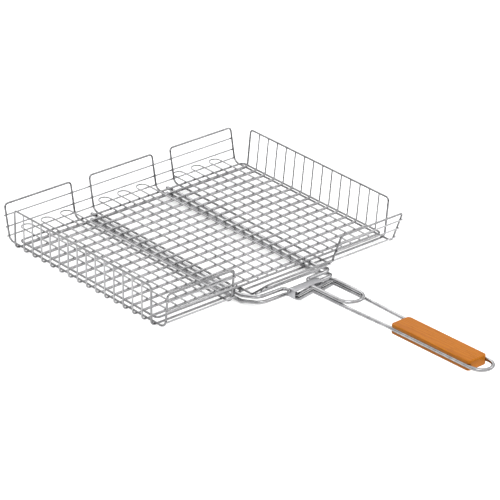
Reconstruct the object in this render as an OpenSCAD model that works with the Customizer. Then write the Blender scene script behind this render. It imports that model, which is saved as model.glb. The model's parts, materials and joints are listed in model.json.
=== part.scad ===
// Folding grill basket: a bright-plated wire tray with a flat hinged lid, a swinging lock
// clip and a long wire handle that carries a wooden grip.
// X runs across the tray, +Y points away from the handle, +Z is up, and the tray stands on z = 0.

/* [Wire] */
// Diameter of the heavy carrying wires
rod_d = 5; // [4:0.5:6]
// Diameter of the frame wires
frame_d = 2.8; // [2.6:0.1:3]
// Diameter of the thin mesh wires
mesh_d = 2.2; // [2:0.1:2.2]
// Depth to which frame wires are welded into each other
weld = 0.3; // [0.2:0.05:0.35]

/* [Tray] */
// Width over the centres of the outer floor wires
tray_w = 400; // [380:5:440]
// Length over the centres of the far and near walls, at the floor
tray_l = 309; // [300:1:320]
// Height of the far and near walls above the floor wires
wall_h = 47.5; // [40:0.5:55]
// Height of the two side walls above the floor wires
side_h = 53.4; // [45:0.1:58]
// Outward lean of the far wall, measured at its top
far_lean = 12; // [8:1:14]
// Outward lean of the left part of the near wall
near_left_lean = 2; // [0:1:10]
// Outward lean of the right part of the near wall
near_right_lean = 16; // [2:1:18]
// Outward lean of the side walls
side_lean = 3; // [1:1:6]
// Distance between neighbouring crosswise floor wires
pitch = 18; // [17:0.5:18.5]
// Number of crosswise floor wires
floor_wires = 14; // [14:14]
// Half of the gap between the left and right sections
section_gap = 88; // [86:0.5:90]
// Half of the width of the middle section
middle_half = 55.5; // [54:0.5:57]
// Distance of the heavy wires from the middle
rod_x = 67; // [66:0.5:68]

/* [Lid] */
// Distance between the middles of neighbouring hairpin wires
hairpin_pitch = 33.3; // [33:0.1:33.4]
// Half of the width of a hairpin
hairpin_half = 8.5; // [7:0.5:8.5]
// How far the hairpins reach past the far wall's foot
hairpin_tail = 12; // [10:0.5:13]
// Number of crosswise lid wires
lid_wires = 15; // [15:15]
// Length of the slanted part of the front flap
flap_l = 40; // [30:1:42]
// Slope of the front flap, in degrees
flap_slope = 41; // [36:1:44]

/* [Handle] */
// Slope of the handle behind its ramp, in degrees
handle_slope = 1.6; // [0.5:0.1:3]
// Length of the wooden grip
grip_l = 135; // [110:1:140]
// Width of the wooden grip
grip_w = 33; // [32:0.5:34]
// Thickness of the wooden grip
grip_t = 14; // [12:0.5:16]
// Distance from the tray's middle to the front end of the grip
grip_start = 366; // [350:1:380]
// Half of the distance between the two wires inside the grip
grip_wire_x = 15.5; // [15:0.1:15.5]

/* [Lock clip] */
// Thickness of the clip's sheet metal
sheet = 1.2; // [1:0.1:1.4]
// Inner width of the clip
clip_inner = 47.8; // [47:0.1:49]
// Diameter of the pivot bar
bar_d = 3; // [2.8:0.1:3]
// Radial play between the pivot bar and the clip
bar_play = 0.06; // [0.03:0.01:0.08]

/* [Hidden] */

$fn = 24;
steel = [0.80, 0.81, 0.83];
bright = [0.88, 0.88, 0.90];
sheet_grey = [0.72, 0.72, 0.75];
wood = [0.85, 0.47, 0.14];

// Heights of the wire centres, stacked up from the resting plane
base_rod_z = rod_d / 2;
side_z = rod_d - weld + frame_d / 2;
floor_z = side_z + frame_d - weld;
mesh_weld = 0.1;
mesh_z = floor_z - (frame_d + mesh_d) / 2 + mesh_weld;
lid_rod_z = 10.7;
lid_z = lid_rod_z + (rod_d + frame_d) / 2 - weld;
hairpin_z = lid_z + mesh_d - mesh_weld / 2;

// Plan of the tray
side_l = pitch * (floor_wires + 1);
side_x = tray_w / 2 + 6;
half_l = tray_l / 2;
wall_bend = 10;
top_bend = 5;
side_bend = 7;
mesh_bend = 6;

// Fractions of the wall height at which the thin rails sit
far_rail_at = [0.105, 0.36, 0.68];
near_rail_at = [0.18, 0.50, 0.80];
rail_reach = 1.5;
rail_gap = (frame_d + mesh_d) / 2 - mesh_weld;

// Lid
lid_half_x = tray_w / 2 - 2;
lid_half_y = side_l / 2 + 1;
rod_tip_y = lid_half_y + 10;
hairpin_end_y = half_l + hairpin_tail;

// Shoulders, neck, ramp and legs of the two carrying wires
rod_step = rod_d + 0.4;
ramp = 41;
step_back = rod_step * tan(ramp / 2);
high_back = rod_step * sin((ramp + handle_slope) / 2) / cos((ramp - handle_slope) / 2);
high_up = rod_step * cos((ramp + handle_slope) / 2) / cos((ramp - handle_slope) / 2);
rod_rise_y = -150;
shoulder_x = 64;
low_shoulder_y = -184;
high_shoulder_y = -178;
neck_x = 19.5;
leg_x = 18;
neck_z = 12.4;
ramp_low_y = -205;
ramp_high_y = -230;
leg_z = neck_z + (ramp_low_y - ramp_high_y) * tan(ramp);
thumb_end_y = -294;
narrow_y = -296;
grip_far_y = -grip_start;
grip_near_y = -grip_start - grip_l;
loop_end_y = grip_near_y - 4 - grip_wire_x;

// Height of the handle's wires behind the ramp
function handle_z(y) = leg_z + (ramp_high_y - y) * tan(handle_slope);
grip_middle_y = (grip_far_y + grip_near_y) / 2;

// Lock clip, with its pivot bar on the lid's wires
pivot_y = -194;
pivot_z = neck_z + rod_step + (rod_d + bar_d) / 2 - mesh_weld;
clip_top_z = pivot_z + bar_d / 2 + 1 + sheet;
clip_near_y = pivot_y - 10.6;
bar_half = clip_inner / 2 + sheet + 1.6;
boss_r = 3.4;

// Each straight piece reaches this far into its elbows, whose wire is a hair thicker
sink = 0.3;
swell = 0.06;

// Vector helpers
function unit(v) = v / norm(v);
function mirror_x(path) = [for (i = [len(path) - 1 : -1 : 0]) [-path[i][0], path[i][1], path[i][2]]];
function turn(u, v) = acos(max(-1, min(1, u * v)));
function cut_back(u, v, r) = r * tan(turn(u, v) / 2);

// A straight round bar between two points
module bar(a, b, d) {
    v = b - a;
    length = norm(v);
    translate(a)
        rotate([0, acos(v[2] / length), atan2(v[1], v[0])])
            cylinder(h = length, d = d);
}

// A round elbow that turns from direction u to direction v around the corner point
module elbow(corner, u, v, r, d) {
    n = unit(cross(u, v));
    m = cross(n, u);
    start = corner - u * cut_back(u, v, r);
    c = start + m * r;
    multmatrix([[-m[0], u[0], n[0], c[0]],
                [-m[1], u[1], n[1], c[1]],
                [-m[2], u[2], n[2], c[2]],
                [0, 0, 0, 1]])
        rotate_extrude(angle = turn(u, v), $fn = 48)
            translate([r, 0])
                circle(d = d + swell, $fn = 24);
}

// A wire bent along a path of points, with one bend radius for each inner corner
module bent_wire(path, radii, d, closed = false) {
    count = len(path);
    legs = closed ? count : count - 1;
    dirs = [for (i = [0 : legs - 1]) unit(path[(i + 1) % count] - path[i])];
    trim = [for (i = [0 : count - 1])
        (!closed && (i == 0 || i == count - 1)) ? 0
            : cut_back(dirs[(i + legs - 1) % legs], dirs[i % legs], radii[i])];
    for (i = [0 : legs - 1]) {
        next = (i + 1) % count;
        bar(path[i] + dirs[i] * (trim[i] - min(trim[i], sink)),
            path[next] - dirs[i] * (trim[next] - min(trim[next], sink)), d);
    }
    for (i = [0 : count - 1])
        if (closed || (i > 0 && i < count - 1))
            elbow(path[i], dirs[(i + legs - 1) % legs], dirs[i], radii[i], d);
}

// A crosswise bar along X at the given height and place
module cross_bar(x0, x1, y, z, d) bar([x0, y, z], [x1, y, z], d);

// ---- Tray ----

// One closed wire: both floor runs, four uprights and the two top bars of the side walls
module side_wall_loop() {
    y = side_l / 2;
    top_x = side_x + side_lean;
    top_z = floor_z + side_h;
    color(steel)
        bent_wire([[-side_x, y, side_z], [side_x, y, side_z], [top_x, y, top_z], [top_x, -y, top_z],
                   [side_x, -y, side_z], [-side_x, -y, side_z], [-top_x, -y, top_z], [-top_x, y, top_z]],
                  [side_bend, side_bend, top_bend, top_bend, side_bend, side_bend, top_bend, top_bend],
                  frame_d, closed = true);
}

// One closed wire between two x places: far wall, floor and near wall of a section
module section_loop(x0, x1, near_lean) {
    top_z = floor_z + wall_h;
    far_y = half_l + far_lean;
    near_y = -half_l - near_lean;
    color(steel)
        bent_wire([[x0, half_l, floor_z], [x0, far_y, top_z], [x1, far_y, top_z], [x1, half_l, floor_z],
                   [x1, -half_l, floor_z], [x1, near_y, top_z], [x0, near_y, top_z], [x0, -half_l, floor_z]],
                  [wall_bend, top_bend, top_bend, wall_bend, wall_bend, top_bend, top_bend, wall_bend],
                  frame_d, closed = true);
}

module left_section_loop() section_loop(-tray_w / 2, -section_gap, near_left_lean);

module right_section_loop() section_loop(section_gap, tray_w / 2, near_right_lean);

// The middle of the far wall, with two long legs along the floor
module middle_section_frame() {
    top_z = floor_z + wall_h;
    far_y = half_l + far_lean;
    end_y = -side_l / 2 - 3;
    color(steel)
        bent_wire([[-middle_half, end_y, floor_z], [-middle_half, half_l, floor_z], [-middle_half, far_y, top_z],
                   [middle_half, far_y, top_z], [middle_half, half_l, floor_z], [middle_half, end_y, floor_z]],
                  [0, wall_bend, top_bend, top_bend, wall_bend, 0], frame_d);
}

// A thin wire across the floor and up both side walls; i counts from the near end
module floor_wire(i) {
    y = -side_l / 2 + i * pitch;
    top_x = side_x + side_lean;
    top_z = floor_z + side_h - frame_d / 2 + 0.2;
    color(bright)
        bent_wire([[-top_x, y, top_z], [-side_x, y, mesh_z], [side_x, y, mesh_z], [top_x, y, top_z]],
                  [0, mesh_bend, mesh_bend, 0], mesh_d);
}

// A thin rail on the outside of a leaning wall; way is +1 for the far wall and -1 for the near wall
module wall_rail(x0, x1, at, lean, way) {
    slope = atan(lean / wall_h);
    y = way * (half_l + lean * at + rail_gap * cos(slope));
    z = floor_z + wall_h * at - rail_gap * sin(slope);
    color(bright) cross_bar(x0 - rail_reach, x1 + rail_reach, y, z, mesh_d);
}

module far_rail(k) wall_rail(-tray_w / 2, tray_w / 2, far_rail_at[k], far_lean, 1);

module near_left_rail(k) wall_rail(-tray_w / 2, -section_gap, near_rail_at[k], near_left_lean, -1);

module near_right_rail(k) wall_rail(section_gap, tray_w / 2, near_rail_at[k], near_right_lean, -1);

// ---- Handle ----

// The tray's carrying wire: a rod along the floor, shoulder, neck, ramp, leg and hanging loop, twice
module handle_wire() {
    half = [[-rod_x, rod_tip_y, base_rod_z], [-rod_x, rod_rise_y, base_rod_z], [-shoulder_x, low_shoulder_y, neck_z],
            [-neck_x, low_shoulder_y - 1, neck_z], [-leg_x, ramp_low_y, neck_z], [-leg_x, ramp_high_y, leg_z],
            [-leg_x, narrow_y, handle_z(narrow_y)],
            [-grip_wire_x, grip_far_y + 4, handle_z(grip_far_y + 4)],
            [-grip_wire_x, loop_end_y, handle_z(loop_end_y)]];
    half_radii = [0, 20, 11, 6, 12, 8, 30, 30, grip_wire_x - 0.3];
    color(bright)
        bent_wire(concat(half, mirror_x(half)),
                  concat(half_radii, [for (i = [len(half_radii) - 1 : -1 : 0]) half_radii[i]]), rod_d);
}

// The outline of the grip about its middle, a rectangle with round corners
module grip_outline(r) {
    x = grip_w / 2;
    y = grip_l / 2;
    translate([-x, r - y]) square([2 * x, 2 * y - 2 * r]);
    translate([r - x, -y]) square([2 * x - 2 * r, 2 * y]);
    for (sx = [-1, 1], sy = [-1, 1])
        translate([sx * (x - r), sy * (y - r)]) circle(r = r, $fn = 48);
}

// The wooden grip, tilted with the handle, with a groove for the wire along each side
module grip() {
    groove_r = rod_d / 2 + 0.1;
    color(wood)
        translate([0, grip_middle_y, handle_z(grip_middle_y)])
            rotate([-handle_slope, 0, 0])
                difference() {
                    translate([0, 0, -grip_t / 2])
                        linear_extrude(grip_t) grip_outline(5);
                    for (sx = [-1, 1])
                        translate([sx * grip_wire_x, grip_l / 2 + 1, 0])
                            rotate([90, 0, 0]) cylinder(r = groove_r, h = grip_l + 2);
                }
}

// ---- Lid ----

// The rectangular rim of the lid
module lid_rim() {
    x = lid_half_x;
    y = lid_half_y;
    color(steel)
        bent_wire([[-x, y, lid_z], [x, y, lid_z], [x, -y, lid_z], [-x, -y, lid_z]],
                  [6, 6, 6, 6], frame_d, closed = true);
}

// The lid's carrying wire: two rods under the mesh, shoulders, neck, ramp and the thumb loop
module lid_carry_wire() {
    z = neck_z + rod_step;
    half = [[-rod_x, rod_tip_y, lid_rod_z], [-rod_x, rod_rise_y, lid_rod_z], [-shoulder_x, high_shoulder_y, z],
            [-neck_x, high_shoulder_y - 1, z], [-leg_x, ramp_low_y + step_back, z],
            [-leg_x, ramp_high_y + high_back, leg_z + high_up],
            [-leg_x, thumb_end_y, handle_z(thumb_end_y) + rod_step / cos(handle_slope)]];
    half_radii = [0, 20, 11, 6, 12 - rod_step, 8 + rod_step, leg_x - 0.3];
    color(bright)
        bent_wire(concat(half, mirror_x(half)),
                  concat(half_radii, [for (i = [len(half_radii) - 1 : -1 : 0]) half_radii[i]]), rod_d);
}

// Places of the nine hairpins: three in each section
function hairpin_x(i) = hairpin_pitch * (i - 5 + 2 * sign(floor((i - 1) / 3) - 1) * 0.5);

// A hairpin wire along Y, whose round end passes the far wall above its lowest rail
module lid_hairpin(i) {
    x = hairpin_x(i);
    r = hairpin_half - 0.3;
    y0 = -lid_half_y - 1;
    y1 = hairpin_end_y;
    color(bright)
        bent_wire([[x - hairpin_half, y0, hairpin_z], [x - hairpin_half, y1, hairpin_z],
                   [x + hairpin_half, y1, hairpin_z], [x + hairpin_half, y0, hairpin_z]],
                  [0, r, r, 0], mesh_d);
}

// A thin wire across the lid, between the rim's two long sides; i counts from the near end
module lid_cross_wire(i) {
    y = (i - (lid_wires + 1) / 2) * pitch;
    x = lid_half_x - frame_d / 2 + 0.2;
    color(bright) cross_bar(-x, x, y, lid_z, mesh_d);
}

// The frame of the front flap, welded under the lid's near edge
flap_z = lid_z - frame_d + weld;
flap_foot_y = -158.3;

module flap_frame() {
    back_y = -lid_half_y + 8;
    top_y = flap_foot_y - flap_l * cos(flap_slope);
    top_z = flap_z + flap_l * sin(flap_slope);
    x = middle_half;
    color(steel)
        bent_wire([[-x, back_y, flap_z], [-x, flap_foot_y, flap_z], [-x, top_y, top_z],
                   [x, top_y, top_z], [x, flap_foot_y, flap_z], [x, back_y, flap_z]],
                  [0, 8, top_bend, top_bend, 8, 0], frame_d);
}

// Three thin rails on the outside of the flap
module flap_rails() {
    color(bright)
        for (at = near_rail_at)
            cross_bar(-middle_half - rail_reach, middle_half + rail_reach,
                      flap_foot_y - flap_l * at * cos(flap_slope) - rail_gap * sin(flap_slope),
                      flap_z + flap_l * at * sin(flap_slope) - rail_gap * cos(flap_slope), mesh_d);
}

// ---- Lock ----

// The pivot bar on top of the lid's wires, with a head at each end
module lock_pivot() {
    color(bright) {
        cross_bar(-bar_half, bar_half, pivot_y, pivot_z, bar_d);
        for (s = [-1, 1])
            cross_bar(s * (bar_half - 1), s * (bar_half + 0.2), pivot_y, pivot_z, bar_d + 2);
    }
}

// The outline of one cheek of the clip in the Y-Z plane: it reaches down past both pairs of wires
module cheek_outline() {
    mouth_y = pivot_y + 2.4;
    low_z = neck_z + 0.6;
    difference() {
        union() {
            polygon([[mouth_y, clip_top_z], [clip_near_y, clip_top_z], [clip_near_y, low_z + 1.5],
                     [clip_near_y + 1.5, low_z], [mouth_y - 1, low_z], [mouth_y, low_z + 1]]);
            translate([pivot_y, pivot_z]) circle(r = boss_r, $fn = 48);
        }
        translate([pivot_y, pivot_z]) circle(r = bar_d / 2 + bar_play, $fn = 48);
    }
}

// The folded sheet clip: a top plate across the four wires and a cheek at each end
module lock_clip() {
    color(sheet_grey) {
        for (x = [-clip_inner / 2 - sheet, clip_inner / 2])
            translate([x, 0, 0]) rotate([90, 0, 90]) linear_extrude(sheet) cheek_outline();
        translate([-clip_inner / 2 - sheet / 2, clip_near_y, clip_top_z - sheet])
            cube([clip_inner + sheet, pivot_y + 1.2 - clip_near_y, sheet]);
    }
}

side_wall_loop();
left_section_loop();
right_section_loop();
middle_section_frame();
for (i = [1 : floor_wires])
    floor_wire(i);
far_rail(0);  // far_rail_low
far_rail(1);  // far_rail_middle
far_rail(2);  // far_rail_high
near_left_rail(0);  // near_left_rail_low
near_left_rail(1);  // near_left_rail_middle
near_left_rail(2);  // near_left_rail_high
near_right_rail(0);  // near_right_rail_low
near_right_rail(1);  // near_right_rail_middle
near_right_rail(2);  // near_right_rail_high
handle_wire();
grip();
lid_rim();
lid_carry_wire();
for (i = [1 : 9])
    lid_hairpin(i);
for (i = [1 : lid_wires])
    lid_cross_wire(i);
flap_frame();
flap_rails();
lock_pivot();
lock_clip();
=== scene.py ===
"""Looks for a folding wire grill basket: plated wire, a folded lock clip and a lacquered wooden grip.

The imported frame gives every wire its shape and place. This script dresses each wire, adds the
resistance-weld nuggets, and builds the grip, the clip and the heads of its pivot as finer pieces.
X runs across the tray, +Y points away from the handle, +Z is up, and lengths are in metres.
"""

import json
import logging
import math
from dataclasses import dataclass, field
from enum import Enum
from typing import Any, Iterable, Iterator, Sequence

import bmesh
import bpy
from mathutils import Matrix, Vector


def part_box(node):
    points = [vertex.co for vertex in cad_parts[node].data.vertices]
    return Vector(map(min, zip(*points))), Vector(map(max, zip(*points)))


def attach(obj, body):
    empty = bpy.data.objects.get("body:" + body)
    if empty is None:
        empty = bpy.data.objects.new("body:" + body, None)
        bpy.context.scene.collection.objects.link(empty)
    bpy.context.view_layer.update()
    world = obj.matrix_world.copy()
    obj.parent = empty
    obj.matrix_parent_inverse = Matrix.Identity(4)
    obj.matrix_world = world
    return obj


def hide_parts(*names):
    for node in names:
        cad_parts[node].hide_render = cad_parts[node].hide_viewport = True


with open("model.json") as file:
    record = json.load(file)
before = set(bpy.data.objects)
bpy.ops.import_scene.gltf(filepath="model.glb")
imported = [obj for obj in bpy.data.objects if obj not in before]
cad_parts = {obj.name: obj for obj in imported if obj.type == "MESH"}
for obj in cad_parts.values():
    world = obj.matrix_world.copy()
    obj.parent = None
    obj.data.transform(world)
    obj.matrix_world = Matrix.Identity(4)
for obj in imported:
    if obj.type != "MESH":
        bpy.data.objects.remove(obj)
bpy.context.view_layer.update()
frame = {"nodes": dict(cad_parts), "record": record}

LOG = logging.getLogger("grill_basket")
MM = 0.001
FLOOR_WIRES = 14
LID_WIRES = 15
HAIRPINS = 9
BRUSHED_ALONG_X = (1.0, 60.0, 60.0)

Size = tuple[float, float, float]


# ---------------------------------------------------------------- names and options


class Body(str, Enum):
    """The rigid bodies that pieces ride on."""

    BASKET = "basket"
    LID = "lid"
    CLIP = "clip"


class Slot(str, Enum):
    """The record's material slots."""

    FRAME = "frame_wire"
    MESH = "mesh_wire"
    HEAVY = "heavy_wire"
    SHEET = "sheet"
    WOOD = "wood"


# ---------------------------------------------------------------- shader arithmetic


@dataclass(frozen=True)
class Signal:
    """An output socket that can be used in plain arithmetic."""

    graph: "Graph"
    socket: bpy.types.NodeSocket

    def _math(self, kind: str, first: "Signal | float", second: "Signal | float") -> "Signal":
        """Returns the result of one Math node on two values."""
        return self.graph.math(kind, first, second)

    def __add__(self, other: "Signal | float") -> "Signal":
        """Returns this plus other."""
        return self._math("ADD", self, other)

    def __radd__(self, other: "Signal | float") -> "Signal":
        """Returns other plus this."""
        return self._math("ADD", other, self)

    def __sub__(self, other: "Signal | float") -> "Signal":
        """Returns this minus other."""
        return self._math("SUBTRACT", self, other)

    def __rsub__(self, other: "Signal | float") -> "Signal":
        """Returns other minus this."""
        return self._math("SUBTRACT", other, self)

    def __mul__(self, other: "Signal | float") -> "Signal":
        """Returns this times other."""
        return self._math("MULTIPLY", self, other)

    def __rmul__(self, other: "Signal | float") -> "Signal":
        """Returns other times this."""
        return self._math("MULTIPLY", other, self)

    def __truediv__(self, other: "Signal | float") -> "Signal":
        """Returns this divided by other."""
        return self._math("DIVIDE", self, other)

    def __rtruediv__(self, other: "Signal | float") -> "Signal":
        """Returns other divided by this."""
        return self._math("DIVIDE", other, self)

    def __pow__(self, other: "Signal | float") -> "Signal":
        """Returns this to the power of other."""
        return self._math("POWER", self, other)

    def __rpow__(self, other: "Signal | float") -> "Signal":
        """Returns other to the power of this."""
        return self._math("POWER", other, self)

    def __abs__(self) -> "Signal":
        """Returns the absolute value."""
        return self._math("ABSOLUTE", self, 0.0)

    def spread(self, low: float, high: float, to_low: float = 0.0, to_high: float = 1.0) -> "Signal":
        """Maps a range smoothly onto another and clamps it.

        Args:
            low: the value that becomes to_low.
            high: the value that becomes to_high.
            to_low: the result at low.
            to_high: the result at high.

        Returns:
            The mapped value.
        """
        node = self.graph.node("ShaderNodeMapRange", {"interpolation_type": "SMOOTHSTEP"},
                               {"Value": self, "From Min": low, "From Max": high,
                                "To Min": to_low, "To Max": to_high})
        return self.graph.out(node, "Result")


class Graph:
    """A node tree, with one method that makes every node."""

    def __init__(self, tree: bpy.types.NodeTree) -> None:
        """Takes over a tree and empties it."""
        self.tree = tree
        self.tree.nodes.clear()

    def node(self, kind: str, settings: dict[str, Any] | None = None,
             values: dict[str | int, Any] | None = None) -> bpy.types.Node:
        """Makes a node.

        Args:
            kind: the node's type.
            settings: attributes, set first because they decide which sockets exist.
            values: a number, colour, vector or Signal for each named or numbered input.

        Returns:
            The node.
        """
        made = self.tree.nodes.new(kind)
        for key, value in (settings or {}).items():
            setattr(made, key, value)
        for key, value in (values or {}).items():
            self.feed(made, key, value)
        return made

    def feed(self, node: bpy.types.Node, name: str | int, value: Any) -> None:
        """Links a Signal into a node's input, named or numbered, or sets the input's value."""
        socket = node.inputs[name] if isinstance(name, int) else next(
            s for s in node.inputs if s.name == name and s.enabled)
        if isinstance(value, Signal):
            self.tree.links.new(value.socket, socket)
        else:
            socket.default_value = value

    def out(self, node: bpy.types.Node, name: str) -> Signal:
        """Returns a node's named output."""
        return Signal(self, next(s for s in node.outputs if s.name == name and s.enabled))

    def math(self, kind: str, first: Signal | float, second: Signal | float) -> Signal:
        """Returns the output of a Math node of the given kind."""
        return self.out(self.node("ShaderNodeMath", {"operation": kind}, {0: first, 1: second}), "Value")


class Shader(Graph):
    """A material's node tree around one principled surface."""

    def __init__(self, name: str) -> None:
        """Makes a material called name, with its surface linked to the output."""
        self.material = bpy.data.materials.new(name)
        self.material.use_nodes = True
        super().__init__(self.material.node_tree)
        self.surface = self.node("ShaderNodeBsdfPrincipled")
        self.node("ShaderNodeOutputMaterial", {}, {"Surface": self.out(self.surface, "BSDF")})

    def place(self, scale: Sequence[float] = (1, 1, 1), shift: Sequence[float] = (0, 0, 0)) -> Signal:
        """Returns the object's own coordinates, shifted and scaled."""
        coords = self.node("ShaderNodeTexCoord")
        mapping = self.node("ShaderNodeMapping", {"vector_type": "POINT"},
                            {"Vector": self.out(coords, "Object"), "Location": shift, "Scale": scale})
        return self.out(mapping, "Vector")

    def noise(self, where: Signal, scale: float, detail: float = 3.0, rough: float = 0.5,
              distortion: float = 0.0) -> Signal:
        """Returns soft noise between 0 and 1 at the given frequency per metre."""
        node = self.node("ShaderNodeTexNoise", {"noise_dimensions": "3D"},
                         {"Vector": where, "Scale": scale, "Detail": detail, "Roughness": rough,
                          "Distortion": distortion})
        return self.out(node, "Fac")

    def blend(self, amount: Signal | float, low: Any, high: Any) -> Signal:
        """Returns a colour between low and high."""
        node = self.node("ShaderNodeMix", {"data_type": "RGBA", "blend_type": "MIX"},
                         {"Factor": amount, "A": low, "B": high})
        return self.out(node, "Result")

    def bump(self, height: Signal, depth: float, strength: float) -> Signal:
        """Returns a normal bumped by height, at a depth in metres."""
        node = self.node("ShaderNodeBump", {}, {"Height": height, "Distance": depth, "Strength": strength})
        return self.out(node, "Normal")

    def finish(self, constants: dict[str, Any], varying: dict[str, Signal]) -> bpy.types.Material:
        """Sets the surface's constants, links what varies and returns the material."""
        for name, value in {**constants, **varying}.items():
            self.feed(self.surface, name, value)
        return self.material


def rgba(colour: Sequence[float]) -> tuple[float, float, float, float]:
    """Returns a colour with full alpha."""
    return (colour[0], colour[1], colour[2], 1.0)


WHITE = rgba((1.0, 1.0, 1.0))


# ---------------------------------------------------------------- finishes


@dataclass(frozen=True)
class PlatedWire:
    """Drawn steel wire with a bright nickel and chrome plating.

    clean and clouded are the plating's two tints, polish is its lowest roughness, haze is what
    the stains add to it, and ripple is the depth of its orange peel in metres.
    """

    name: str
    clean: tuple[float, float, float]
    clouded: tuple[float, float, float]
    polish: float
    haze: float
    ripple: float = 0.03 * MM
    cloud_scale: float = 34.0
    stain_scale: float = 190.0
    peel_scale: float = 1500.0

    def make(self) -> bpy.types.Material:
        """Returns the material."""
        sh = Shader(self.name)
        where = sh.place()
        clouds = sh.noise(where, self.cloud_scale, 3.0, 0.55)
        stains = sh.noise(where, self.stain_scale, 4.0, 0.6, 0.3)
        peel = sh.noise(where, self.peel_scale, 2.0, 0.5)
        mottle = (clouds * 0.55 + stains * 0.45).spread(0.36, 0.66)
        tint = sh.blend(mottle, rgba(self.clouded), rgba(self.clean))
        dull = (stains.spread(0.45, 0.75) * self.haze) + (peel * (self.haze * 0.35)) + self.polish
        normal = sh.bump(peel * 0.7 + stains * 0.3, self.ripple, 0.35)
        return sh.finish({"Metallic": 1.0, "IOR": 2.2},
                         {"Base Color": tint, "Roughness": dull, "Normal": normal})


@dataclass(frozen=True)
class SatinSheet:
    """Rolled sheet steel with a fine grain, and brighter rubbed high spots."""

    name: str
    clean: tuple[float, float, float]
    clouded: tuple[float, float, float]
    brushing: tuple[float, float, float] = BRUSHED_ALONG_X

    def make(self) -> bpy.types.Material:
        """Returns the material."""
        sh = Shader(self.name)
        lines = sh.noise(sh.place(self.brushing), 55.0, 4.0, 0.65)
        patches = sh.noise(sh.place(), 120.0, 3.0, 0.5, 0.4)
        grain = sh.noise(sh.place(), 3200.0, 2.0, 0.6)
        mottle = (lines * 0.5 + patches * 0.5).spread(0.35, 0.65)
        tint = sh.blend(mottle, rgba(self.clouded), rgba(self.clean))
        dull = lines.spread(0.3, 0.7, 0.26, 0.40) + patches * 0.08
        normal = sh.bump(lines * 0.6 + grain * 0.4, 0.00004, 0.45)
        return sh.finish({"Metallic": 1.0, "IOR": 2.0},
                         {"Base Color": tint, "Roughness": dull, "Normal": normal})


@dataclass(frozen=True)
class LacqueredWood:
    """Straight-grained hardwood under an amber lacquer; the grain runs along Y. Its X-facing sides carry
    painted shade: a darker, browner tint chosen by which way the faces point.
    """

    name: str
    pale: tuple[float, float, float]
    warm: tuple[float, float, float]
    # deep: the dark colour of the pores' streaks, and, mixed with edge, the painted shade on the grip's
    # X-facing sides.
    pore_and_side_shade: tuple[float, float, float]
    # edge: the tint of the painted shade on the grip's X-facing sides, not a colour of the wood's edges.
    edge: tuple[float, float, float]
    middle: tuple[float, float, float]

    def make(self) -> bpy.types.Material:
        """Returns the material."""
        sh = Shader(self.name)
        away = tuple(-c for c in self.middle)
        stretched = sh.place((1.0, 0.055, 1.0), (away[0], away[1] * 0.055, away[2]))
        pith = sh.place((1.0, 0.05, 1.0), (0.013, away[1] * 0.05, away[2] - 0.021))
        sway = sh.noise(stretched, 26.0, 3.0, 0.5, 0.6)
        rings_node = sh.node("ShaderNodeTexWave",
                             {"wave_type": "RINGS", "rings_direction": "Y", "wave_profile": "SIN"},
                             {"Vector": pith, "Scale": 120.0, "Distortion": 4.6, "Detail": 4.0,
                              "Detail Scale": 1.8})
        rings = sh.out(rings_node, "Fac")
        fibre = sh.noise(sh.place((1.0, 0.02, 1.0)), 950.0, 4.0, 0.6)
        pores = sh.noise(sh.place((1.0, 0.045, 1.0)), 1500.0, 2.0, 0.5).spread(0.60, 0.72)
        figure = (rings * 0.22 + sway * 0.45 + fibre * 0.33).spread(0.24, 0.78)
        body = sh.blend(figure, rgba(self.warm), rgba(self.pale))
        streaked = sh.blend(pores * 0.55, body, rgba(self.pore_and_side_shade))
        normal_node = sh.node("ShaderNodeNewGeometry")
        split = sh.node("ShaderNodeSeparateXYZ", {}, {"Vector": sh.out(normal_node, "Normal")})
        # Painted shade: the further a face's normal points along X, as on the grip's long sides, the more it
        # takes the dark side tint.
        painted_side_shade = abs(sh.out(split, "X")).spread(0.55, 0.95)
        tint = sh.blend(painted_side_shade * 0.62, streaked, sh.blend(figure, rgba(self.pore_and_side_shade), rgba(self.edge)))
        dull = 0.30 + fibre * 0.10 + pores * 0.18
        normal = sh.bump(fibre * 0.5 - pores * 0.9 + rings * 0.15, 0.00006, 0.35)
        return sh.finish({"Metallic": 0.0, "IOR": 1.42, "Specular IOR Level": 0.12, "Coat Weight": 0.06,
                          "Coat Roughness": 0.22,
                          "Coat IOR": 1.5},
                         {"Base Color": tint, "Roughness": dull, "Normal": normal})


@dataclass(frozen=True)
class PaleFloor:
    """A plain, matt and nearly white floor."""

    name: str = "pale_floor"
    shade: float = 0.95
    glow: float = 0.20

    def make(self) -> bpy.types.Material:
        """Returns the material."""
        sh = Shader(self.name)
        mottle = sh.noise(sh.place(), 3.0, 2.0)
        tint = sh.blend(mottle, rgba((self.shade,) * 3), rgba((self.shade + 0.015,) * 3))
        return sh.finish({"Roughness": 0.9, "Specular IOR Level": 0.15, "Emission Color": WHITE,
                          "Emission Strength": self.glow}, {"Base Color": tint})


# ---------------------------------------------------------------- mesh helpers


def sized_box(mesh: bmesh.types.BMesh, half: Vector) -> None:
    """Adds a box round the origin with the given half sizes."""
    bmesh.ops.create_cube(mesh, size=1.0, matrix=Matrix.Diagonal((*(2 * half), 1.0)))


def round_edges(mesh: bmesh.types.BMesh, edges: Iterable[bmesh.types.BMEdge], radius: float,
                segments: int) -> None:
    """Rounds edges to a radius."""
    bmesh.ops.bevel(mesh, geom=list(edges), offset=radius, offset_type="OFFSET", segments=segments,
                    profile=0.5, affect="EDGES", material=-1, clamp_overlap=True)


def along(edge: bmesh.types.BMEdge, axis: int) -> bool:
    """Tells whether an edge runs along the given axis."""
    span = edge.verts[1].co - edge.verts[0].co
    return abs(span[axis]) > 0.999 * max(span.length, 1e-12)


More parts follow.
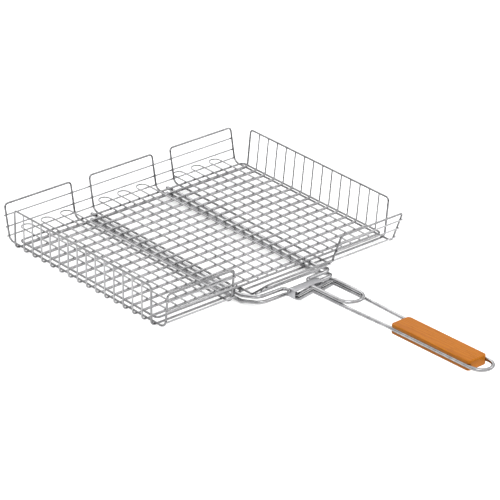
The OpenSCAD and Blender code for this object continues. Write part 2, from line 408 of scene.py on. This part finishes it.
def cut(mesh: bmesh.types.BMesh, point: Sequence[float], normal: Sequence[float], drop: bool = False) -> None:
    """Cuts the whole mesh by a plane, and drops what lies on the normal's side if asked."""
    geometry = list(mesh.verts) + list(mesh.edges) + list(mesh.faces)
    bmesh.ops.bisect_plane(mesh, geom=geometry, dist=1e-7, plane_co=point, plane_no=normal, clear_outer=drop)


def settle(mesh: bmesh.types.BMesh, name: str, body: Body, material: bpy.types.Material,
           smooth_angle: float = 35.0) -> bpy.types.Object:
    """Turns a mesh into a finished piece on its body.

    Args:
        mesh: the mesh, which is freed.
        name: the piece's name.
        body: the body it rides on.
        material: its material.
        smooth_angle: edges sharper than this stay crisp, in degrees.

    Returns:
        The piece.
    """
    bmesh.ops.remove_doubles(mesh, verts=list(mesh.verts), dist=1e-7)
    bmesh.ops.recalc_face_normals(mesh, faces=list(mesh.faces))
    limit = math.radians(smooth_angle)
    for face in mesh.faces:
        face.smooth = True
    for edge in mesh.edges:
        edge.smooth = len(edge.link_faces) == 2 and edge.calc_face_angle(math.pi) < limit
    data = bpy.data.meshes.new(name)
    mesh.to_mesh(data)
    mesh.free()
    piece = bpy.data.objects.new(name, data)
    bpy.context.scene.collection.objects.link(piece)
    data.materials.append(material)
    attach(piece, body.value)
    LOG.info("%s: %d faces on %s", name, len(data.polygons), body.value)
    return piece


def node_box(name: str) -> tuple[Vector, Vector]:
    """Returns a CAD node's lowest and highest corner."""
    low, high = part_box(name)
    return Vector(low), Vector(high)


# ---------------------------------------------------------------- the finishes' palette


@dataclass
class Palette:
    """Every finish of the basket, made once."""

    # The frame wire has the same plating as the mesh wire. Its darker tints are painted shade, which stands
    # in for the dark reflections along the frame.
    frame_wire: PlatedWire = field(default_factory=lambda: PlatedWire(
        "plated_frame_wire", (0.27, 0.27, 0.275), (0.18, 0.18, 0.185), 0.11, 0.10))
    mesh_wire: PlatedWire = field(default_factory=lambda: PlatedWire(
        "plated_mesh_wire", (0.41, 0.41, 0.418), (0.28, 0.28, 0.286), 0.14, 0.12))
    heavy_wire: PlatedWire = field(default_factory=lambda: PlatedWire(
        "plated_heavy_wire", (0.39, 0.39, 0.398), (0.25, 0.25, 0.256), 0.05, 0.06))
    sheet: SatinSheet = field(default_factory=lambda: SatinSheet(
        "satin_sheet", (0.46, 0.46, 0.475), (0.37, 0.37, 0.385)))
    wood: LacqueredWood = field(default_factory=lambda: LacqueredWood(
        "amber_lacquered_wood", (0.43, 0.142, 0.004), (0.33, 0.096, 0.003), (0.15, 0.043, 0.003),
        (0.20, 0.078, 0.010), (0.0, -0.4335, 0.0400)))
    made: dict[Slot, bpy.types.Material] = field(default_factory=dict)

    def build(self) -> None:
        """Makes the materials."""
        self.made = {Slot.FRAME: self.frame_wire.make(), Slot.MESH: self.mesh_wire.make(),
                     Slot.HEAVY: self.heavy_wire.make(), Slot.SHEET: self.sheet.make(),
                     Slot.WOOD: self.wood.make()}

    def __getitem__(self, slot: Slot) -> bpy.types.Material:
        """Returns the material of a slot."""
        return self.made[slot]


# ---------------------------------------------------------------- wires from the frame


@dataclass
class Wires:
    """The CAD wires, which keep their shape and get their plating."""

    palette: Palette

    def dress(self) -> None:
        """Gives every CAD node the finish of its slot."""
        slots = {part["node"]: Slot(part["material_slot"]) for part in frame["record"]["subparts"]}
        for name, piece in frame["nodes"].items():
            piece.data.materials.clear()
            piece.data.materials.append(self.palette[slots[name]])
        LOG.info("plated %d wires", len(slots))


@dataclass
class Welds:
    """Resistance-weld nuggets where wires cross: small flattened beads between the two wires."""

    palette: Palette
    frame_r: float = 1.4 * MM
    mesh_r: float = 1.1 * MM
    rod_r: float = 2.5 * MM
    rings: int = 6
    sides: int = 8
    floor_bead: Size = (1.35 * MM, 1.15 * MM, 0.7 * MM)
    rod_bead: Size = (1.7 * MM, 1.2 * MM, 0.8 * MM)
    wall_bead: Size = (1.3 * MM, 1.15 * MM, 0.7 * MM)
    hairpin_bead: Size = (1.1 * MM, 1.1 * MM, 0.6 * MM)
    lid_rod_bead: Size = (1.6 * MM, 1.2 * MM, 0.75 * MM)
    rim_bead: Size = (0.8 * MM, 1.2 * MM, 1.1 * MM)

    def bead(self, mesh: bmesh.types.BMesh, at: Vector, size: Size) -> None:
        """Adds one bead with the given half sizes."""
        bmesh.ops.create_uvsphere(mesh, u_segments=self.sides, v_segments=self.rings, radius=1.0,
                                  matrix=Matrix.Translation(at) @ Matrix.Diagonal((*size, 1.0)))

    def middle(self, name: str) -> Vector:
        """Returns the middle of a CAD node's box."""
        low, high = node_box(name)
        return (low + high) / 2

    def long_wires(self) -> list[float]:
        """Returns the X places of the tray's long floor wires."""
        places: list[float] = []
        for name in ("left_section_loop", "middle_section_frame", "right_section_loop"):
            low, high = node_box(name)
            places += [low.x + self.frame_r, high.x - self.frame_r]
        return places

    def rods(self) -> list[float]:
        """Returns the X places of the two heavy rods."""
        low, high = node_box("handle_wire")
        return [low.x + self.rod_r, high.x - self.rod_r]

    def tray(self) -> bpy.types.Object:
        """Builds the tray's beads and returns them as one piece."""
        mesh = bmesh.new()
        floor_low = node_box("floor_wire_1")[0].z
        cross_z = floor_low + self.mesh_r
        crossings = [self.middle(f"floor_wire_{i}").y for i in range(1, FLOOR_WIRES + 1)]
        loop_low, loop_high = node_box("side_wall_loop")
        edges = [loop_low.y + self.frame_r, loop_high.y - self.frame_r]
        for y in crossings + edges:
            for x in self.long_wires():
                self.bead(mesh, Vector((x, y, cross_z + 1.15 * MM)), self.floor_bead)
            for x in self.rods():
                self.bead(mesh, Vector((x, y, cross_z - 1.15 * MM)), self.rod_bead)
        top_z = loop_high.z - self.frame_r
        for y in crossings:
            for x in (loop_low.x + self.frame_r, loop_high.x - self.frame_r):
                self.bead(mesh, Vector((x, y, top_z - 1.25 * MM)), self.wall_bead)
        return settle(mesh, "weld_beads_tray", Body.BASKET, self.palette[Slot.MESH], 60.0)

    def lid(self) -> bpy.types.Object:
        """Builds the lid's beads and returns them as one piece."""
        mesh = bmesh.new()
        cross = [self.middle(f"lid_cross_wire_{i}") for i in range(1, LID_WIRES + 1)]
        legs: list[float] = []
        for i in range(1, HAIRPINS + 1):
            low, high = node_box(f"lid_hairpin_{i}")
            legs += [low.x + self.mesh_r, high.x - self.mesh_r]
        rim_low, rim_high = node_box("lid_rim")
        rim = [Vector((0, y, cross[0].z)) for y in (rim_low.y + self.frame_r, rim_high.y - self.frame_r)]
        rod_low, rod_high = node_box("lid_carry_wire")
        for line in cross + rim:
            for x in legs:
                self.bead(mesh, Vector((x, line.y, line.z + 1.1 * MM)), self.hairpin_bead)
            for x in (rod_low.x + self.rod_r, rod_high.x - self.rod_r):
                self.bead(mesh, Vector((x, line.y, line.z - 1.2 * MM)), self.lid_rod_bead)
        for line in cross:
            for x in (rim_low.x + self.frame_r, rim_high.x - self.frame_r):
                side = -1.0 if x > 0 else 1.0
                self.bead(mesh, Vector((x + side * 1.2 * MM, line.y, line.z)), self.rim_bead)
        return settle(mesh, "weld_beads_lid", Body.LID, self.palette[Slot.MESH], 60.0)

    def build(self) -> None:
        """Builds every bead."""
        self.tray()
        self.lid()


# ---------------------------------------------------------------- the wooden grip


@dataclass
class Grip:
    """The wooden grip: a bar with round corners, softened edges and a wire groove along each side."""

    palette: Palette
    length: float = 135.0 * MM
    thick: float = 14.0 * MM
    tilt: float = math.radians(1.6)
    corner: float = 5.0 * MM
    arris: float = 1.9 * MM
    groove_half: float = 2.62 * MM
    groove_depth: float = 3.7 * MM

    def build(self) -> bpy.types.Object:
        """Builds the grip in place of the plain one and returns it."""
        box_low, box_high = node_box("grip")
        middle = (box_low + box_high) / 2
        half = Vector((box_high.x - middle.x, self.length / 2, self.thick / 2))
        mesh = bmesh.new()
        sized_box(mesh, half)
        round_edges(mesh, [e for e in mesh.edges if along(e, 2)], self.corner, 8)
        rims = [e for e in mesh.edges if abs(e.verts[0].co.z - e.verts[1].co.z) < 1e-7]
        round_edges(mesh, rims, self.arris, 5)
        wall = half.x - self.groove_depth
        for z in (-self.groove_half, self.groove_half):
            cut(mesh, (0, 0, z), (0, 0, 1))
        for x in (-wall, wall):
            cut(mesh, (x, 0, 0), (1, 0, 0))
        self.carve(mesh, wall)
        bmesh.ops.rotate(mesh, verts=list(mesh.verts), cent=(0, 0, 0),
                         matrix=Matrix.Rotation(-self.tilt, 3, "X"))
        bmesh.ops.translate(mesh, verts=list(mesh.verts), vec=middle)
        piece = settle(mesh, "grip_wood", Body.BASKET, self.palette[Slot.WOOD], 40.0)
        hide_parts("grip")
        return piece

    def carve(self, mesh: bmesh.types.BMesh, wall: float) -> None:
        """Opens the two grooves: takes off the skin over each groove and closes it from inside.

        Args:
            mesh: the grip's mesh, level round the origin and already cut along the grooves' edges.
            wall: how far from the middle the bottoms of the grooves are.
        """
        skin = [f for f in mesh.faces
                if abs(f.calc_center_median().z) < self.groove_half
                and abs(f.calc_center_median().x) > wall]
        bmesh.ops.delete(mesh, geom=skin, context="FACES")
        for side in (-1.0, 1.0):
            rim = [e for e in mesh.edges if len(e.link_faces) == 1
                   and all(side * v.co.x > wall - 1e-6 for v in e.verts)]
            for level in (-1.0, 1.0):
                ledge_z = level * self.groove_half
                ledge = [e for e in rim if all(abs(v.co.z - ledge_z) < 1e-6 for v in e.verts)]
                bmesh.ops.contextual_create(mesh, geom=ledge)
        bmesh.ops.holes_fill(mesh, edges=[e for e in mesh.edges if len(e.link_faces) == 1], sides=0)


# ---------------------------------------------------------------- the lock clip


@dataclass
class Clip:
    """The folded sheet clip over the four wires, with rounded folds."""

    palette: Palette
    gauge: float = 1.2 * MM
    fold: float = 2.2 * MM
    edge: float = 0.28 * MM
    plate_past_pivot: float = 1.2 * MM

    def build(self) -> bpy.types.Object:
        """Builds the clip in place of the plain one and returns it."""
        low, high = node_box("lock_clip")
        pivot = (node_box("lock_pivot")[0] + node_box("lock_pivot")[1]) / 2
        mesh = bmesh.new()
        half = high.x - self.gauge / 2
        top = high.z - self.gauge / 2
        row = [mesh.verts.new(co) for co in ((-half, high.y, low.z), (-half, high.y, top),
                                             (half, high.y, top), (half, high.y, low.z))]
        edges = [mesh.edges.new(pair) for pair in zip(row, row[1:])]
        made = bmesh.ops.extrude_edge_only(mesh, edges=edges)
        shift = Vector((0, low.y - high.y, 0))
        far_row = [g for g in made["geom"] if isinstance(g, bmesh.types.BMVert)]
        bmesh.ops.translate(mesh, verts=far_row, vec=shift)
        folds = [e for e in mesh.edges if along(e, 1) and abs(e.verts[0].co.z - top) < 1e-6]
        round_edges(mesh, folds, self.fold, 5)
        self.trim(mesh, low, high, pivot.y + self.plate_past_pivot)
        bmesh.ops.recalc_face_normals(mesh, faces=list(mesh.faces))
        plate = max(mesh.faces, key=lambda f: f.calc_center_median().z)
        if plate.normal.z < 0:
            bmesh.ops.reverse_faces(mesh, faces=list(mesh.faces))
        bmesh.ops.solidify(mesh, geom=list(mesh.faces), thickness=self.gauge)
        drift = self.gauge / 2 - (max(v.co.z for v in mesh.verts) - top)
        self.level(mesh, high.x, drift)
        crisp = [e for e in mesh.edges
                 if len(e.link_faces) == 2 and e.calc_face_angle(0.0) > math.radians(50)]
        round_edges(mesh, crisp, self.edge, 2)
        piece = settle(mesh, "clip_sheet", Body.CLIP, self.palette[Slot.SHEET], 30.0)
        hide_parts("lock_clip")
        return piece

    def trim(self, mesh: bmesh.types.BMesh, low: Vector, high: Vector, plate_end: float) -> None:
        """Cuts the slanted lower corners of the cheeks, and the plate where it ends past the pivot.

        Args:
            mesh: the folded middle surface.
            low: the plain clip's lowest corner.
            high: its highest corner.
            plate_end: the Y at which the top plate ends.
        """
        cut(mesh, (0, low.y, low.z + 1.5 * MM), Vector((0, -1, -1)).normalized(), True)
        cut(mesh, (0, high.y - 1 * MM, low.z), Vector((0, 1, -1)).normalized(), True)
        cut(mesh, (0, plate_end, 0), (0, 1, 0))
        fold_foot = high.z - self.gauge / 2 - self.fold
        beyond = [f for f in mesh.faces if f.calc_center_median().y > plate_end
                  and f.calc_center_median().z > fold_foot + 1e-6]
        bmesh.ops.delete(mesh, geom=beyond, context="FACES")

    def level(self, mesh: bmesh.types.BMesh, half_width: float, drift: float) -> None:
        """Centres the thickened sheet on its middle surface so that it keeps the plain clip's size."""
        wide = max(v.co.x for v in mesh.verts)
        scale = Vector((half_width / wide, 1.0, 1.0))
        bmesh.ops.translate(mesh, verts=list(mesh.verts), vec=Vector((0, 0, drift)))
        bmesh.ops.scale(mesh, verts=list(mesh.verts), vec=scale)


@dataclass
class PivotHeads:
    """Domed heads that hold the clip on its pivot bar."""

    palette: Palette
    radius: float = 2.7 * MM
    rise: float = 1.3 * MM

    def build(self) -> bpy.types.Object:
        """Builds both heads and returns them as one piece."""
        low, high = node_box("lock_pivot")
        middle = (low + high) / 2
        mesh = bmesh.new()
        for side, face in ((-1.0, low.x), (1.0, high.x)):
            base = Vector((face - side * 0.9 * MM, middle.y, middle.z))
            turn = Matrix.Rotation(side * math.pi / 2, 4, "Y")
            made = bmesh.ops.create_uvsphere(mesh, u_segments=28, v_segments=14, radius=1.0,
                                             matrix=Matrix.Translation(base) @ turn
                                             @ Matrix.Diagonal((self.radius, self.radius, self.rise, 1.0)))
            half = [v for v in made["verts"] if side * (v.co.x - base.x) < -1e-7]
            bmesh.ops.delete(mesh, geom=half, context="VERTS")
        bmesh.ops.holes_fill(mesh, edges=[e for e in mesh.edges if len(e.link_faces) == 1], sides=0)
        return settle(mesh, "pivot_heads", Body.LID, self.palette[Slot.HEAVY], 50.0)


# ---------------------------------------------------------------- floor, light and camera


@dataclass
class Studio:
    """A pale floor under soft light from large panels."""

    floor_size: float = 40.0
    sky_high: float = 1.42
    sky_low: float = 0.14
    band: tuple[float, float] = (0.10, 0.42)

    def build(self) -> None:
        """Builds the floor, the sky and the lights."""
        mesh = bmesh.new()
        bmesh.ops.create_grid(mesh, x_segments=2, y_segments=2, size=self.floor_size / 2,
                              matrix=Matrix.Translation((0, 0, -0.0004)))
        data = bpy.data.meshes.new("floor")
        mesh.to_mesh(data)
        mesh.free()
        floor = bpy.data.objects.new("floor", data)
        bpy.context.scene.collection.objects.link(floor)
        data.materials.append(PaleFloor().make())
        self.light_sky()
        for name, at, size, watts in (("key_panel", (-1.5, -1.3, 2.4), 1.6, 22.0),
                                      ("fill_panel", (1.9, -1.5, 1.5), 1.2, 8.0),
                                      ("back_panel", (0.6, 2.2, 1.9), 1.8, 13.5)):
            self.panel(name, Vector(at), size, watts)

    def light_sky(self) -> None:
        """Sets a soft sky that is bright overhead and dim low down, so that the wires show dark lines."""
        world = bpy.data.worlds.new("soft_sky")
        world.use_nodes = True
        sky = Graph(world.node_tree)
        coords = sky.node("ShaderNodeTexCoord")
        split = sky.node("ShaderNodeSeparateXYZ", {}, {"Vector": sky.out(coords, "Generated")})
        glow = sky.out(split, "Z").spread(*self.band, self.sky_low, self.sky_high)
        background = sky.node("ShaderNodeBackground", {}, {"Color": WHITE, "Strength": glow})
        sky.node("ShaderNodeOutputWorld", {}, {"Surface": sky.out(background, "Background")})
        bpy.context.scene.world = world
        bpy.context.scene.view_settings.view_transform = "Standard"

    def panel(self, name: str, at: Vector, size: float, watts: float) -> None:
        """Adds a square light panel that faces the basket."""
        lamp = bpy.data.lights.new(name, "AREA")
        lamp.shape = "SQUARE"
        lamp.size = size
        lamp.energy = watts
        holder = bpy.data.objects.new(name, lamp)
        holder.location = at
        holder.rotation_euler = (Vector((0, -0.05, 0)) - at).to_track_quat("-Z", "Y").to_euler()
        bpy.context.scene.collection.objects.link(holder)


@dataclass
class Viewpoint:
    """A long lens that looks down on the basket over its left near corner."""

    azimuth: float = -44.0
    elevation: float = 26.64
    roll: float = 3.0
    distance: float = 4.2917
    target: tuple[float, float, float] = (0.0433, -0.0474, 0.0002)
    lens: float = 234.2

    def axes(self) -> Iterator[Vector]:
        """Yields the camera's right, up and backward directions."""
        az, el, roll = (math.radians(a) for a in (self.azimuth, self.elevation, self.roll))
        back = Vector((math.cos(el) * math.sin(az), -math.cos(el) * math.cos(az), math.sin(el)))
        flat = Vector((math.cos(az), math.sin(az), 0))
        rise = back.cross(flat)
        yield flat * math.cos(roll) + rise * math.sin(roll)
        yield rise * math.cos(roll) - flat * math.sin(roll)
        yield back

    def build(self) -> None:
        """Adds the camera and makes it the scene's own."""
        right, up, back = self.axes()
        data = bpy.data.cameras.new("camera")
        data.lens = self.lens
        data.sensor_width = 36.0
        data.clip_end = 50.0
        camera = bpy.data.objects.new("camera", data)
        turn = Matrix((right, up, back)).transposed().to_4x4()
        camera.matrix_world = Matrix.Translation(Vector(self.target) + back * self.distance) @ turn
        bpy.context.scene.collection.objects.link(camera)
        bpy.context.scene.camera = camera


def main() -> None:
    """Builds and dresses the whole basket."""
    logging.basicConfig(level=logging.INFO, format="%(name)s: %(message)s")
    palette = Palette()
    palette.build()
    Wires(palette).dress()
    Welds(palette).build()
    Grip(palette).build()
    Clip(palette).build()
    PivotHeads(palette).build()
    Studio().build()
    Viewpoint().build()


if __name__ == "__main__":
    main()
